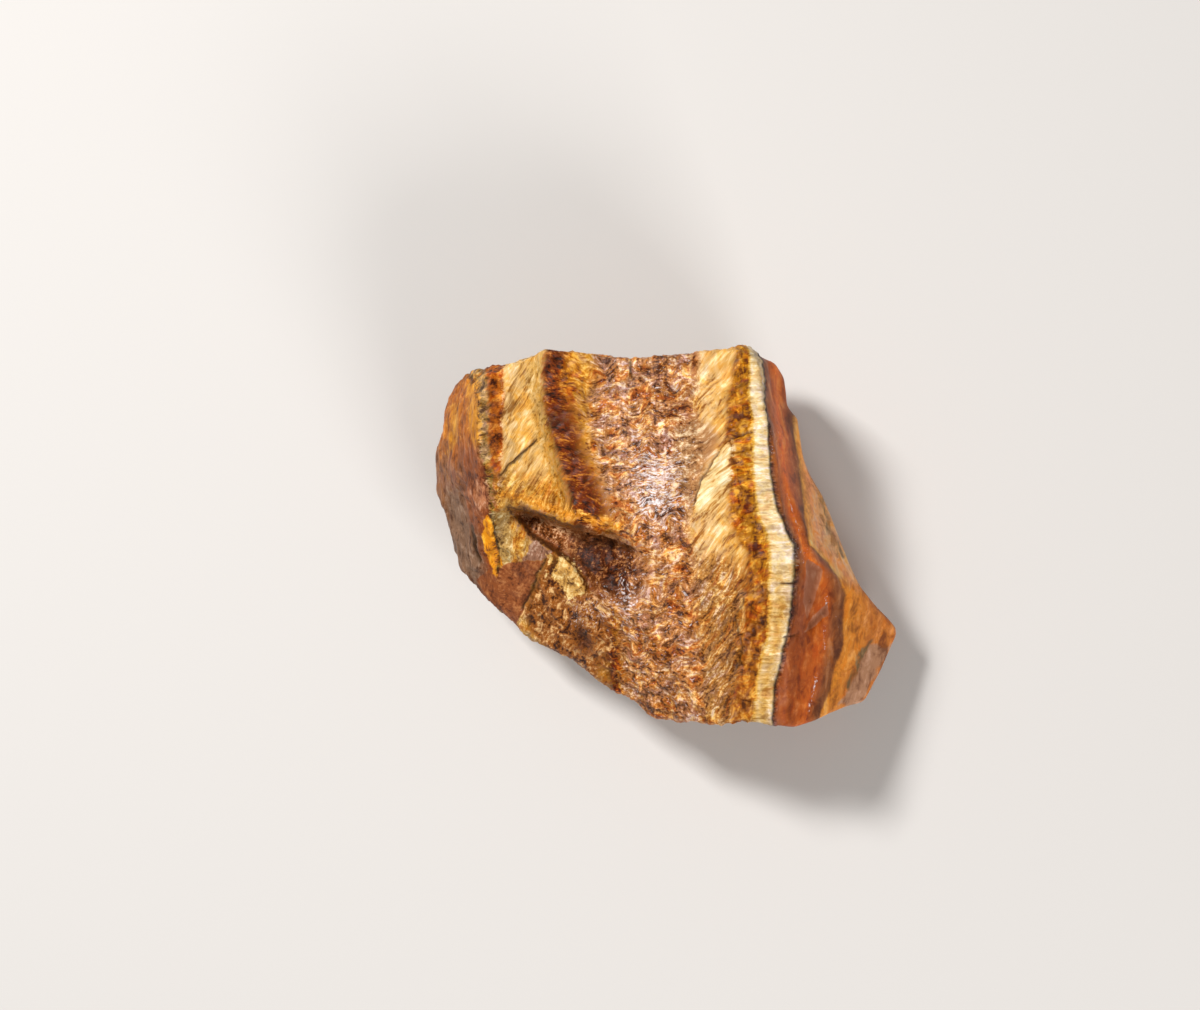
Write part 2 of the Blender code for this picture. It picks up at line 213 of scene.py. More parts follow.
# ---------------------------------------------------------------------------------------------
# Patches and cracks on the break: rock left on the fibres, stains, hollows and splits, painted shade in the
# pits, on the hollow's floor and rims and under the crest, and painted highlights on the hollow's lip and
# in glints.
# Each is an outline or a line in plan, in mm; a line has the half width of the split, stain or painted
# shade along it.
# ---------------------------------------------------------------------------------------------
OUTLINES = {
    "cavity": [[(-30.1, 5.5), (-26.4, 5.2), (-23.4, 4.3), (-20.6, 2.9), (-16.7, 1.9), (-12.8, 1.1),
                (-9.6, 0.4), (-6.5, -1.4), (-4.2, -3.7), (-3.5, -8.1), (-5.5, -12.0), (-8.8, -13.3),
                (-11.9, -12.0), (-15.0, -10.4), (-16.3, -7.6), (-19.3, -4.8), (-21.9, -2.9),
                (-25.1, -0.7), (-27.3, 1.5)]],
    # Painted shade on the floor of the hollow, over its dark brown
    "shaded_hollow_floor": [[(-17.5, -0.5), (-10.0, -0.8), (-6.5, -2.6), (-5.0, -7.0), (-7.5, -11.5),
                      (-12.0, -10.5), (-15.5, -7.5), (-18.5, -4.0)]],
    "jasper_patch": [[(-36.0, -8.2), (-31.9, -5.6), (-27.6, -4.7), (-23.3, -4.5), (-24.8, -7.5),
                      (-25.7, -10.1), (-26.8, -13.7), (-28.7, -17.1), (-33.7, -12.4)]],
    "khaki_strip": [[(-32.1, 4.5), (-29.9, 4.5), (-29.0, 1.1), (-29.5, -5.5), (-31.4, -5.5),
                     (-31.9, -0.7)]],
    "ochre_wedge": [[(-33.8, 3.9), (-32.3, 1.1), (-31.5, -4.4), (-31.9, -8.0), (-33.6, -4.4),
                     (-35.0, -0.7)]],
    "grey_block": [[(-25.1, -0.9), (-21.7, -2.9), (-22.8, -4.4), (-27.5, -4.8), (-26.4, -2.9)]],
    "rubble": [[(-23.0, -3.0), (-19.0, -3.5), (-14.5, -9.0), (-10.0, -13.0), (-11.0, -20.0),
                (-13.0, -29.0), (-20.0, -27.0), (-28.5, -19.0), (-28.0, -15.0), (-25.5, -9.0)]],
    "tan_flakes": [[(-22.5, -3.7), (-19.7, -4.0), (-16.3, -6.6), (-15.2, -10.4), (-17.8, -11.5),
                    (-20.0, -10.0), (-21.9, -7.2)]],
    # Painted highlights: spots where glints are painted thickly
    "painted_sparkles": [[(-5.5, 15.5), (0.5, 13.4), (1.6, 5.4), (-4.0, 4.8)],
                 [(-17.6, -11.7), (-8.2, -11.0), (-8.6, -15.5), (-17.3, -16.6)],
                 [(22.8, -0.8), (24.0, -1.2), (24.6, -3.4), (23.6, -3.0)],
                 [(18.6, 18.4), (19.6, 18.4), (19.5, 16.8), (18.8, 16.8)]],
    "bright_splinter": [[(11.6, 17.6), (10.0, 16.2), (8.2, 13.4), (5.9, 10.0), (4.7, 5.8), (5.4, 4.0),
                         (8.8, 4.4), (10.6, 8.0), (11.4, 12.5)]],
    # A darker tan patch left of the bright splinter
    "darker_tan_patch": [[(1.5, 21.0), (6.5, 21.5), (9.5, 18.5), (8.4, 15.2), (6.6, 12.4), (4.9, 9.6), (4.0, 6.0),
                 (1.0, 10.0)]],
    "jasper_flakes": [[(26.0, -4.2), (29.2, -6.1), (28.0, -9.2), (27.4, -12.0), (26.0, -16.0),
                       (25.2, -12.5)],
                      [(30.0, -12.2), (30.4, -14.8), (27.6, -16.6), (25.3, -18.3), (26.6, -15.9)]],
    "pale_facet": [[(38.6, -20.8), (37.0, -22.6), (34.2, -29.0), (32.6, -31.6), (36.0, -33.5),
                    (43.0, -21.0)]],
    "rind_gold": [[(-37.4, 28.2), (-35.4, 28.6), (-35.0, 18.0), (-36.4, 17.0)],
                  [(-40.5, 24.0), (-38.8, 25.5), (-39.4, 18.0), (-41.4, 15.0)]],
    "rind_plum": [[(-38.4, 16.8), (-35.7, 16.4), (-34.4, 9.0), (-34.8, 2.0), (-36.4, 1.0), (-37.6, 8.0)]],
    "rind_pink": [[(-36.2, 10.2), (-33.8, 9.6), (-33.0, 6.4), (-34.4, 5.2), (-36.0, 6.4)]],
    "rind_grey": [[(-42.0, 9.0), (-38.2, 7.6), (-36.6, 1.0), (-34.6, -6.5), (-36.0, -10.5), (-42.0, -3.0)]],
}
LINES = {
    # Painted shade: dark lines along the rims of the hollow, under its lip and along its lower left wall
    "hollow_rim_shade": [([(-29.8, 5.2), (-27.6, 2.3), (-24.6, -0.6), (-20.5, -3.0), (-17.5, -5.0)], 0.3),
                  ([(-29.8, 5.4), (-25.5, 4.7), (-21.0, 3.0), (-16.0, 1.4)], 0.2)],
    # Painted shadow of the crest's ledge, laid over the dark brown band beside it
    "crest_shadow_and_stain": [([(-20.8, 22.5), (-18.6, 14.5), (-16.4, 9.7), (-14.2, 5.0)], 3.1)],
    # The golden lip over the hollow, painted lighter as a highlight along its ridge
    "cavity_lip_gold_and_highlight": [([(-31.0, 7.6), (-26.4, 6.9), (-21.0, 4.9), (-15.0, 3.2), (-9.0, 1.9)], 0.7)],
    # Painted highlights: lines of glints painted in chains on the jasper and its edge
    "painted_glint_chains": [([(29.6, -10.8), (29.9, -13.4)], 0.4), ([(29.4, -16.8), (29.3, -21.0)], 0.35),
               ([(28.0, -26.0), (26.3, -33.4)], 0.4), ([(22.2, 8.4), (23.3, 4.2), (24.6, 0.3)], 0.25)],
    # Pits, carved shallow and painted near black as shade
    "shaded_pits": [([(-16.6, -17.8), (-15.4, -20.6)], 0.8), ([(-21.6, 21.5), (-19.7, 21.3)], 0.3)],
    "cracks": [
        ([(-36.9, 1.9), (-36.4, -1.7), (-35.5, -4.9)], 0.28),
        ([(-33.0, 3.7), (-32.3, 1.1), (-31.7, -2.6), (-31.9, -7.2)], 0.18),
        ([(-22.9, -4.5), (-24.6, -7.2), (-25.5, -10.3), (-27.2, -13.2), (-28.5, -16.7)], 0.18),
        ([(15.6, 19.3), (14.3, 19.3), (11.5, 18.2), (10.0, 16.6), (8.2, 13.8), (5.9, 10.4),
          (4.5, 5.8)], 0.10),
        ([(14.3, -11.5), (12.4, -15.2), (13.4, -18.5), (13.7, -21.1), (13.0, -23.4), (12.1, -25.8)], 0.10),
        ([(21.0, -8.9), (23.6, -8.7)], 0.2),
        ([(21.5, -18.9), (24.1, -18.5)], 0.1),
        ([(-31.3, 11.3), (-29.1, 13.5), (-26.8, 15.5), (-24.4, 17.6)], 0.14),
        ([(-7.1, 33.6), (-6.8, 29.0)], 0.14),
    ],
    "rock_streaks": [([(38.8, -20.0), (37.3, -21.8), (34.1, -28.6)], 0.35),
                     ([(29.4, 7.0), (30.6, 1.5), (33.2, -3.6)], 0.15)],
}
# How far each edge wanders, against the 0.55 mm wander of the broken skin, where it is not 1
WANDERS = {"painted_sparkles": 3.0, "bright_splinter": 0.5, "jasper_flakes": 0.5, "hollow_rim_shade": 0.5,
           "painted_glint_chains": 0.3, "shaded_pits": 1.2, "cracks": 0.5}
WANDER = 0.55
WANDER_SIZE = 2.2
WANDER_STARTS = (11.0, 17.0, 23.0)
# Those on the rock walls go down the sides; the rest end where the sides fall away from the break
DOWN_THE_SIDES = ["jasper_patch", "painted_sparkles", "jasper_flakes", "painted_glint_chains", "pale_facet",
                  "rock_streaks", "rind_gold", "rind_plum", "rind_pink", "rind_grey"]
BREAK_ENDS_BELOW = 20.0


def off_line(places, corners):
    """How far each point is from the line through the corners, in plan."""
    points = places[:, None, :2]
    starts, runs = np.array(corners[:-1]), np.diff(np.array(corners), axis=0)
    along = ((points - starts) * runs).sum(2) / (runs**2).sum(1)
    gaps = points - starts - np.clip(along, 0.0, 1.0)[:, :, None] * runs
    return np.linalg.norm(gaps, axis=2).min(1)


def inside(places, corners):
    """How far each point is within the outline, in mm; below 0 it is outside."""
    px, py = places[:, 0, None], places[:, 1, None]
    (x1, y1), (x2, y2) = np.array(corners).T, np.roll(np.array(corners), -1, axis=0).T
    crosses = (y1 > py) != (y2 > py)
    ahead = px < (x2 - x1) * (py - y1) / np.where(y2 == y1, 1e-9, y2 - y1) + x1
    within = (crosses & ahead).sum(1) % 2 == 1
    away = off_line(places, corners + corners[:1])
    return np.where(within, away, -away)


wander = [WANDER * grain(smooth_places, WANDER_SIZE, start, 3) for start in WANDER_STARTS]
wander = np.stack(wander, axis=1)
off_the_break = np.maximum(0.0, BREAK_ENDS_BELOW - z)
fields = {}
for name in [*OUTLINES, *LINES]:
    wandered = smooth_places + WANDERS.get(name, 1.0) * wander
    if name in OUTLINES:
        fields[name] = np.max([inside(wandered, outline) for outline in OUTLINES[name]], axis=0)
    else:
        fields[name] = np.max([half - off_line(wandered, line) for line, half in LINES[name]], axis=0)
    if name not in DOWN_THE_SIDES:
        fields[name] -= off_the_break

# The hollow fades out to the right, and the painted shadow and dark stain under the crest stop at the crest
HOLLOW_FADE = 0.8
CREST_LAYER = 2.0
fields["cavity"] -= HOLLOW_FADE * ease(x, -16.0, -7.0)
fields["crest_shadow_and_stain"] = np.minimum(fields["crest_shadow_and_stain"], (layer - CREST_LAYER) * width)


# ---------------------------------------------------------------------------------------------
# The broken skin: bundles of fibre stand up in splinters on the break, the core is hackly, the
# cream band is ribbed across, the rind is weathered in streaks and the jasper is nearly smooth.
# ---------------------------------------------------------------------------------------------
SPLINTER_HEIGHT = 0.34
SPLINTER_CREST = 0.5
SPLINTER_SLOPE = 1.6
SPLINTER_SIZE = (9.0, 2.6, 2.6)
SPLINTERS_OFF_SILK = 0.35
BRISTLE_SHARE = 0.35
BRISTLE_SIZE = (4.0, 1.1, 1.1)
HACKLE_HEIGHT = 0.55
HACKLE_SIZE = 1.7
HACKLE_LOST_ON_SILK = 0.8
SILK_LOST_BELOW = 0.8
RIB_PITCH = 1.7
RIB_WAVER = 0.5
RIB_HEIGHT = 0.10
RIB_HACKLE = 0.22
STREAK_HEIGHT = 0.38
STREAK_SIZE = (1.3, 8.0, 2.2)
RIPPLE_HEIGHT = 0.10
RIPPLE_SIZE = 7.0
CRACK_DEPTH = 0.5
HOLE_DEPTH = 0.3
FLAKE_DEPTH = 0.45
REST_SKIN = 0.35

splinters = SPLINTER_CREST - SPLINTER_SLOPE * np.abs(grain(fibre_places, SPLINTER_SIZE, 31.0, 2))
splinters += BRISTLE_SHARE * grain(fibre_places, BRISTLE_SIZE, 33.0, 2)
hackle = grain(smooth_places, HACKLE_SIZE, 37.0, 4)
streaks = grain(smooth_places, STREAK_SIZE, 41.0, 3)
ripples = grain(smooth_places, RIPPLE_SIZE, 43.0, 2)
ribs = np.sin(2 * np.pi * (y + RIB_WAVER * hackle) / RIB_PITCH)
rock = np.maximum(jasper, ease(fields["jasper_patch"], -0.2, 0.2))
fibrous = (1.0 - jasper) * (1.0 - rind) * (1.0 - cream)

# Right of the core the silk gives way to hackle where the stain is muddier
silky *= 1.0 - SILK_LOST_BELOW * lower * ease(layer, 3.5, 4.0)
splintery = SPLINTERS_OFF_SILK + (1.0 - SPLINTERS_OFF_SILK) * silky
relief = fibrous * SPLINTER_HEIGHT * splinters * splintery
relief += fibrous * HACKLE_HEIGHT * hackle * (1.0 - HACKLE_LOST_ON_SILK * silky)
relief += cream * (RIB_HEIGHT * ribs + RIB_HACKLE * hackle)
relief += rind * STREAK_HEIGHT * streaks
relief = relief * (1.0 - rock) + rock * RIPPLE_HEIGHT * ripples
relief -= CRACK_DEPTH * ease(fields["cracks"], -0.4, 0.15)
relief -= HOLE_DEPTH * ease(fields["shaded_pits"], -0.5, 0.6)
relief -= FLAKE_DEPTH * ease(fields["jasper_flakes"], -0.2, 0.8)

# The face that it rests on stays flat, and nothing stands out of the solid's box
relief *= ease(z, REST_SKIN, 2.0)
carved = (smooth_places + smooth_directions * relief[:, None]) * MM
carved = np.clip(carved, *np.array(solid_box))
stone.data.vertices.foreach_set("co", carved.astype(np.float32).ravel())
stone.data.update()
bpy.ops.object.select_all(action="DESELECT")
stone.select_set(True)
bpy.ops.object.shade_smooth()


def mark(piece, name, values):
    """Keeps a number, or a row of three, for each point of the piece, for its material to read."""
    rows = values.ndim > 1
    kept = piece.data.attributes.new(name, "FLOAT_VECTOR" if rows else "FLOAT", "POINT")
    kept.data.foreach_set("vector" if rows else "value", values.astype(np.float32).ravel())


mark(stone, "layer", layer)
mark(stone, "layers_per_mm", 1.0 / width)
mark(stone, "lower", lower)
mark(stone, "fibre", fibre_places * MM)
mark(stone, "relief", relief)
for name, field in fields.items():
    mark(stone, name, field)


# ---------------------------------------------------------------------------------------------
# Tiger's eye and jasper: crocidolite fibres turned to quartz, with a silky lustre in gold and
# brown, between wall rock of iron-stained jasper, which breaks smooth and waxy.
# ---------------------------------------------------------------------------------------------
def linear(colour):
    """An sRGB hex colour as the linear values that a shader takes."""
    parts = [int(colour[place:place + 2], 16) / 255 for place in (1, 3, 5)]
    return [p / 12.92 if p <= 0.04045 else ((p + 0.055) / 1.055) ** 2.4 for p in parts] + [1.0]


tigers_eye = bpy.data.materials.new("tigers_eye_quartz_and_jasper")
tigers_eye.use_nodes = True
tree = tigers_eye.node_tree
surface = tree.nodes["Principled BSDF"]


def add(kind, settings=None, inputs=None, stops=None, out=None):
    """Adds a node with its settings, its inputs as values or links, and its colour stops, and
    gives the output with this name, or else its first one."""
    made = tree.nodes.new("ShaderNode" + kind)
    for name, value in (settings or {}).items():
        setattr(made, name, value)
    named = {socket.name: socket for socket in made.inputs if socket.enabled}
    for name, value in (inputs or {}).items():
        socket = named[name] if isinstance(name, str) else made.inputs[name]
        if isinstance(value, bpy.types.NodeSocket):
            tree.links.new(value, socket)
        else:
            socket.default_value = value
    for number, (place, colour) in enumerate(stops or []):
        elements = made.color_ramp.elements
        stop = elements[number] if number < 2 else elements.new(place)
        stop.position = place
        stop.color = linear(colour) if isinstance(colour, str) else (colour, colour, colour, 1.0)
    return made.outputs[out] if out else next(socket for socket in made.outputs if socket.enabled)


# The layers run from -1, in the rind, to 9, in the rock past the jasper
FIRST_LAYER, LAYER_SPAN = -1.0, 10.0

# One row for each place across the layers: its darkest, middle and lightest colour
UPPER_COLOURS = [
    (-1.00, "#5E3410", "#9E6830", "#CC9C64"),
    (-0.60, "#74400C", "#B06C24", "#DC9C50"),
    (-0.30, "#6C3810", "#A86428", "#D0904C"),
    (-0.08, "#784410", "#B07024", "#DC983C"),
    (-0.02, "#22160C", "#3A2818", "#6A5030"),
    (0.04, "#5C4020", "#A0804C", "#D8B880"),
    (0.38, "#543818", "#987440", "#D4B07C"),
    (0.50, "#34160A", "#944E14", "#CC8838"),
    (0.92, "#502208", "#A85C14", "#E09838"),
    (1.04, "#8E6430", "#D4B27C", "#F8E2BE"),
    (1.90, "#7E541A", "#CCA660", "#F2D8A4"),
    (2.02, "#220A02", "#662C06", "#B87434"),
    (2.25, "#2E1202", "#783606", "#C8843C"),
    (2.50, "#643008", "#AC6A0C", "#E4A83C"),
    (2.85, "#7A4410", "#C0882C", "#F0C874"),
    (3.12, "#4C2A16", "#B48058", "#FCE4C8"),
    (3.92, "#502A12", "#AC7240", "#FADCB4"),
    (4.12, "#8E5820", "#DEBA88", "#FCEED2"),
    (4.90, "#824E14", "#D4A860", "#FCE4B8"),
    (5.04, "#5E2E06", "#A0640E", "#DCA03E"),
    (5.90, "#603004", "#B0740E", "#E6B03E"),
    (6.02, "#A87820", "#D8AC48", "#F0D888"),
    (6.12, "#C8AC80", "#E2D0A8", "#F8F0E2"),
    (6.74, "#B89C70", "#DEC8A0", "#F8ECDC"),
    (6.84, "#14100C", "#2E241C", "#5A4A3A"),
    (7.04, "#6C3C24", "#9A5C38", "#BC8058"),
    (7.40, "#B04C04", "#E87418", "#FC9838"),
    (7.80, "#80401C", "#B05E2C", "#D08858"),
    (7.98, "#6A3C20", "#8E5834", "#B07C54"),
    (8.04, "#D89440", "#FFBE58", "#FFE098"),
    (8.22, "#D08448", "#FAAC74", "#FFD2B0"),
    (8.45, "#B88450", "#F0BA84", "#FFDCB4"),
]
LOWER_COLOURS = [
    (-1.00, "#54382A", "#8A6450", "#B48C70"),
    (-0.60, "#5A3826", "#90644A", "#BC8C68"),
    (-0.30, "#4C2A18", "#804E32", "#AC7450"),
    (-0.08, "#5A2A16", "#8C4A28", "#BC7444"),
    (-0.02, "#30180C", "#583018", "#8A5634"),
    (0.04, "#5A4820", "#9A8448", "#D0C084"),
    (0.42, "#4A3418", "#8E7038", "#CCB470"),
    (0.52, "#3A1C08", "#8A5420", "#C88C40"),
    (0.94, "#4A2408", "#9A6018", "#D09838"),
    (1.05, "#8A5818", "#C2984E", "#F2DAA0"),
    (1.90, "#7E4A0A", "#C28E34", "#F4D48C"),
    (2.02, "#220A02", "#622A06", "#B4702C"),
    (2.36, "#361402", "#7E3C0C", "#CC883C"),
    (2.60, "#5E2E08", "#A6680E", "#E4A840"),
    (3.10, "#54300E", "#B07848", "#F8DAB4"),
    (3.90, "#4E280E", "#B07440", "#F6D6AC"),
    (4.15, "#58300A", "#A8763A", "#F2D8AC"),
    (4.92, "#542E08", "#A87236", "#F2D4A0"),
    (5.04, "#502808", "#90500E", "#C88C3C"),
    (5.90, "#502808", "#985A0C", "#D09840"),
    (6.02, "#A07020", "#D4A448", "#F0D480"),
    (6.16, "#AC8850", "#D4B680", "#F2E0BC"),
    (6.45, "#A47A38", "#CCA45C", "#EED49C"),
    (6.74, "#B08E5C", "#D4BA90", "#F2E4CA"),
    (6.84, "#14100C", "#342A20", "#6A5C4C"),
    (7.04, "#6A3418", "#94502C", "#B87450"),
    (7.35, "#7C3408", "#AA5414", "#D08048"),
    (7.62, "#903C04", "#CC6410", "#E88C40"),
    (7.80, "#6E3814", "#985A30", "#B47850"),
    (7.98, "#5A3018", "#84502C", "#A87450"),
    (8.03, "#B06C18", "#E89830", "#FCC064"),
    (8.50, "#8E5020", "#CC7E34", "#F4A860"),
]

# How much of each grain shows across the layers
GRAIN_SHARES = {
    "pepper": [(-1.0, 0.0), (0.3, 0.0), (0.4, 0.4), (0.95, 0.4), (1.05, 0.0), (2.0, 0.0),
               (2.9, 0.05), (3.2, 0.55), (3.9, 0.55), (4.15, 0.2), (5.0, 0.0)],
    "silk": [(-1.0, 0.0), (0.9, 0.0), (1.05, 1.0), (1.95, 1.0), (2.05, 0.0), (3.9, 0.0),
             (4.05, 0.9), (4.9, 0.9), (5.05, 0.0)],
    "amber": [(-1.0, 0.0), (0.4, 0.0), (0.5, 0.3), (0.95, 0.3), (1.05, 0.0), (2.0, 0.0),
              (2.1, 0.15), (2.8, 0.15), (3.0, 0.0), (5.0, 0.0), (5.1, 0.65), (5.9, 0.65), (6.0, 0.0)],
    "ribs": [(-1.0, 0.0), (5.95, 0.0), (6.05, 0.5), (6.8, 0.5), (6.85, 0.0)],
    "columns": [(-1.0, 0.0), (2.8, 0.0), (3.1, 1.0), (3.9, 1.0), (4.1, 0.0)],
}

position = add("TexCoord", out="Object")
fibre = add("Attribute", {"attribute_name": "fibre"}, out="Vector")
across = add("Attribute", {"attribute_name": "layer"}, out="Fac")
per_mm = add("Attribute", {"attribute_name": "layers_per_mm"}, out="Fac")
lower_share = add("Attribute", {"attribute_name": "lower"}, out="Fac")
on_rind = add("MapRange", {}, {"Value": across, "From Min": 0.02, "From Max": -0.04})
on_rock = add("MapRange", {}, {"Value": across, "From Min": 6.98, "From Max": 7.02})
on_walls = add("Math", {"operation": "MAXIMUM"}, {0: on_rind, 1: on_rock})
layer_place = add("MapRange", {}, {"Value": across, "From Min": FIRST_LAYER,
                                   "From Max": FIRST_LAYER + LAYER_SPAN})
shares = {}
for name, rows in GRAIN_SHARES.items():
    shares[name] = add("ValToRGB", {}, {"Fac": layer_place}, [
        ((at - FIRST_LAYER) / LAYER_SPAN, share) for at, share in rows])

# Each grain: the places that it follows, its size along x, y and z in mm, its detail, how rough
# it is and how far it is distorted. Real fibres are some thousandths of a millimetre thick, so
# the finest here, half a millimetre, are bundles drawn as coarse as they need to be to show.
GRAINS = {
    "silk": (fibre, (7.0, 0.7, 0.7), 3.0, 0.8, 0.2),
    "bundles": (fibre, (8.0, 2.0, 2.0), 4.0, 0.75, 0.4),
    "short": (fibre, (1.2, 0.5, 0.6), 2.0, 0.75, 0.2),
    "tufts": (fibre, (2.4, 1.1, 1.1), 3.0, 0.75, 0.4),
    "pepper": (position, (0.65, 0.55, 0.6), 3.0, 0.75, 0.3),
    "amber": (position, (1.5, 2.4, 2.4), 2.0, 0.6, 0.8),
    "ribs": (position, (5.0, 0.6, 5.0), 2.0, 0.7, 0.4),
    "columns": (position, (1.6, 12.0, 12.0), 2.0, 0.6, 0.8),
    "lumps": (position, (2.4, 1.6, 2.0), 4.0, 0.75, 0.4),
    "streams": (position, (0.8, 3.2, 1.8), 3.0, 0.75, 0.8),
    "facets": (position, (2.4, 7.0, 5.0), 2.0, 0.5, 1.0),
    "blotches": (fibre, (3.2, 2.6, 2.6), 3.0, 0.7, 0.6),
    "warmth": (fibre, (3.6, 2.8, 2.8), 3.0, 0.65, 1.0),
    "clouds": (position, (2.6, 4.0, 3.0), 3.0, 0.7, 0.8),
    # The grain of the painted glints
    "painted_glitter": (fibre, (1.0, 0.6, 0.6), 3.0, 0.8, 0.5),
}
grains = {}
for name, (places, size, detail, roughness, distortion) in GRAINS.items():
    scaled = add("Mapping", {}, {"Vector": places, "Scale": [1.0 / (MM * length) for length in size]})
    grains[name] = add("TexNoise", {}, {"Vector": scaled, "Scale": 1.0, "Detail": detail,
                                        "Roughness": roughness, "Distortion": distortion})

# The long silk thins out where the seam is muddy, and the short fibres lie everywhere else
MUDDY_SILK = 0.15
BUNDLES_IN_SILK = 0.65
TUFTS_IN_SHORT = 0.4
silk_left = add("MapRange", {}, {"Value": lower_share, "To Min": 1.0, "To Max": MUDDY_SILK})
silk_share = add("Math", {"operation": "MULTIPLY"}, {0: shares["silk"], 1: silk_left})
long_fibres = add("Mix", {}, {"Factor": BUNDLES_IN_SILK, "A": grains["silk"], "B": grains["bundles"]})
short_fibres = add("Mix", {}, {"Factor": TUFTS_IN_SHORT, "A": grains["short"], "B": grains["tufts"]})
woven = add("Mix", {}, {"Factor": silk_share, "A": short_fibres, "B": long_fibres})
for name in ("pepper", "amber", "ribs"):
    woven = add("Mix", {}, {"Factor": shares[name], "A": woven, "B": grains[name]})

# It is peppery where the silk has gone and in the hollow, and lumpy in the rubble
PEPPER_FOR_SILK = 0.6
PEPPER_IN_HOLLOW = 0.7
LUMPS_IN_RUBBLE = 0.8
crumbly = add("Math", {"operation": "SUBTRACT"}, {0: shares["silk"], 1: silk_share})
crumbly = add("Math", {"operation": "MULTIPLY"}, {0: crumbly, 1: PEPPER_FOR_SILK})
woven = add("Mix", {}, {"Factor": crumbly, "A": woven, "B": grains["pepper"]})
hollow = add("Attribute", {"attribute_name": "cavity"}, out="Fac")
hollow = add("MapRange", {}, {"Value": hollow, "From Min": -0.5, "From Max": 1.0,
                              "To Max": PEPPER_IN_HOLLOW})
woven = add("Mix", {}, {"Factor": hollow, "A": woven, "B": grains["pepper"]})
broken = add("Attribute", {"attribute_name": "rubble"}, out="Fac")
broken = add("MapRange", {}, {"Value": broken, "From Min": -0.5, "From Max": 1.5,
                              "To Max": LUMPS_IN_RUBBLE})
woven = add("Mix", {}, {"Factor": broken, "A": woven, "B": grains["lumps"]})

# The rind is streaked and the jasper is in broad facets, with faint streaks of its own
STREAMS_IN_ROCK = 0.15
rock_grain = add("Mix", {}, {"Factor": on_rock, "A": grains["streams"], "B": grains["facets"]})
rock_grain = add("Mix", {}, {"Factor": STREAMS_IN_ROCK, "A": rock_grain, "B": grains["streams"]})
streaky = add("Mix", {}, {"Factor": on_walls, "A": woven, "B": rock_grain})

# Broad blotches, and the columns of the core, lighten and darken the fine grain
BLOTCH_WEIGHT = 0.7
COLUMN_WEIGHT = 0.3
MIDDLE_GREY = 0.5 * (1.0 + BLOTCH_WEIGHT + COLUMN_WEIGHT)
column = add("Mix", {}, {"Factor": shares["columns"], "A": 0.5, "B": grains["columns"]})
grey = add("Math", {"operation": "MULTIPLY_ADD"}, {0: grains["blotches"], 1: BLOTCH_WEIGHT, 2: streaky})
grey = add("Math", {"operation": "MULTIPLY_ADD"}, {0: column, 1: COLUMN_WEIGHT, 2: grey})

# Where one layer meets the next, its fibres reach into it; the walls have clean edges
REACH = 5.0
CREAM_REACH = 1.0
RIND_REACH = 2.5
reach = add("MapRange", {}, {"Value": across, "From Min": 5.6, "From Max": 5.95,
                             "To Min": REACH, "To Max": CREAM_REACH})
reach = add("Mix", {}, {"Factor": on_rind, "A": reach, "B": RIND_REACH})
shift = add("Math", {"operation": "SUBTRACT"}, {0: woven, 1: 0.5})
shift = add("Math", {"operation": "MULTIPLY"}, {0: shift, 1: reach})
stained = add("Math", {"operation": "MULTIPLY_ADD"}, {0: shift, 1: per_mm, 2: across})
stained = add("MapRange", {}, {"Value": stained, "From Min": FIRST_LAYER,
                               "From Max": FIRST_LAYER + LAYER_SPAN})
COLOUR_MIX = {"data_type": "RGBA"}
COLOUR_PRODUCT = {"data_type": "RGBA", "blend_type": "MULTIPLY"}
tones = []
for tone in (1, 2, 3):
    upper, under = [add("ValToRGB", {}, {"Fac": stained}, [
        ((row[0] - FIRST_LAYER) / LAYER_SPAN, row[tone]) for row in rows])
        for rows in (UPPER_COLOURS, LOWER_COLOURS)]
    tones.append(add("Mix", COLOUR_MIX, {"Factor": lower_share, "A": upper, "B": under}))
dark_tone, middle_tone, light_tone = tones

# The grain picks between the three tones: softly on both walls, sharply on the fibres
DARK_FROM, DARK_FULL = -0.01, -0.11
LIGHT_FROM, LIGHT_FULL = 0.02, 0.13
FIBRE_CONTRAST = 0.9
SILK_CONTRAST = 0.8
JASPER_CONTRAST = 0.55
TAN_ROCK_CONTRAST = 0.6
on_fibres = add("MapRange", {}, {"Value": silk_share, "To Min": FIBRE_CONTRAST, "To Max": SILK_CONTRAST})
contrast = add("MapRange", {}, {"Value": across, "From Min": 7.9, "From Max": 8.1,
                                "To Min": JASPER_CONTRAST, "To Max": TAN_ROCK_CONTRAST})
contrast = add("Mix", {}, {"Factor": on_walls, "A": on_fibres, "B": contrast})
centred = add("Math", {"operation": "SUBTRACT"}, {0: grey, 1: MIDDLE_GREY})
centred = add("Math", {"operation": "MULTIPLY"}, {0: centred, 1: contrast})
dark_share = add("MapRange", {}, {"Value": centred, "From Min": DARK_FROM, "From Max": DARK_FULL})
light_share = add("MapRange", {}, {"Value": centred, "From Min": LIGHT_FROM, "From Max": LIGHT_FULL})
colour = add("Mix", COLOUR_MIX, {"Factor": dark_share, "A": middle_tone, "B": dark_tone})
colour = add("Mix", COLOUR_MIX, {"Factor": light_share, "A": colour, "B": light_tone})

